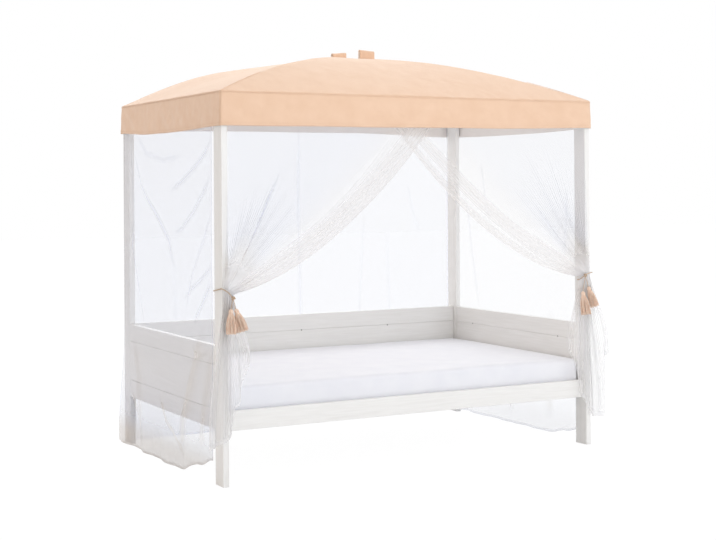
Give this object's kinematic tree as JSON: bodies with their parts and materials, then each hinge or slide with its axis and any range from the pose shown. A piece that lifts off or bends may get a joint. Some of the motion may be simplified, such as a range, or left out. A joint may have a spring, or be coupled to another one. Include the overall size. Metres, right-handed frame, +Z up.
{
  "type": "bed canopy on four-poster bed",
  "caption": "domed cloth canopy with a straight valance, sheer nets and tied-back front curtains with tassels, on a plain four-poster bed with boarded ends",
  "frame": {"origin": "centre of the object's whole box at floor level, where its feet stand", "axes": "+X along the bed's long side to the right end, +Y from the open front to the back, +Z up"},
  "size_m": [2.251, 1.5006, 2.0678],
  "materials": {
    "lacquered_wood": "white satin lacquer",
    "mattress_cotton": "plain white woven cotton cover",
    "canopy_cotton": "plain peach woven cotton",
    "sheer_net": "fine white sheer net",
    "tassel_yarn": "soft peach yarn",
    "tie_rope": "twisted beige cotton rope"
  },
  "bodies": {
    "root": {"back_board_low": "lacquered_wood", "back_board_middle": "lacquered_wood", "back_board_top": "lacquered_wood", "crown_loop_left": "canopy_cotton", "crown_loop_right": "canopy_cotton", "curtain_left": "sheer_net", "curtain_right": "sheer_net", "end_board_left_low": "lacquered_wood", "end_board_left_middle": "lacquered_wood", "end_board_left_top": "lacquered_wood", "end_board_right_low": "lacquered_wood", "end_board_right_middle": "lacquered_wood", "end_board_right_top": "lacquered_wood", "mattress": "mattress_cotton", "net_back": "sheer_net", "net_left_end": "sheer_net", "net_right_end": "sheer_net", "post_back_left": "lacquered_wood", "post_back_right": "lacquered_wood", "post_front_left": "lacquered_wood", "post_front_right": "lacquered_wood", "roof": "canopy_cotton", "roof_bows": "lacquered_wood", "side_rail_front": "lacquered_wood", "slatted_base": "lacquered_wood", "tassel_left_a": "tassel_yarn", "tassel_left_b": "tassel_yarn", "tassel_right_a": "tassel_yarn", "tassel_right_b": "tassel_yarn", "tie_cord_left": "tie_rope", "tie_cord_right": "tie_rope", "tie_knot_left": "tie_rope", "tie_knot_right": "tie_rope", "top_rail_back": "lacquered_wood", "top_rail_front": "lacquered_wood", "top_rail_left": "lacquered_wood", "top_rail_right": "lacquered_wood", "valance": "canopy_cotton"}
  },
  "joints": []
}
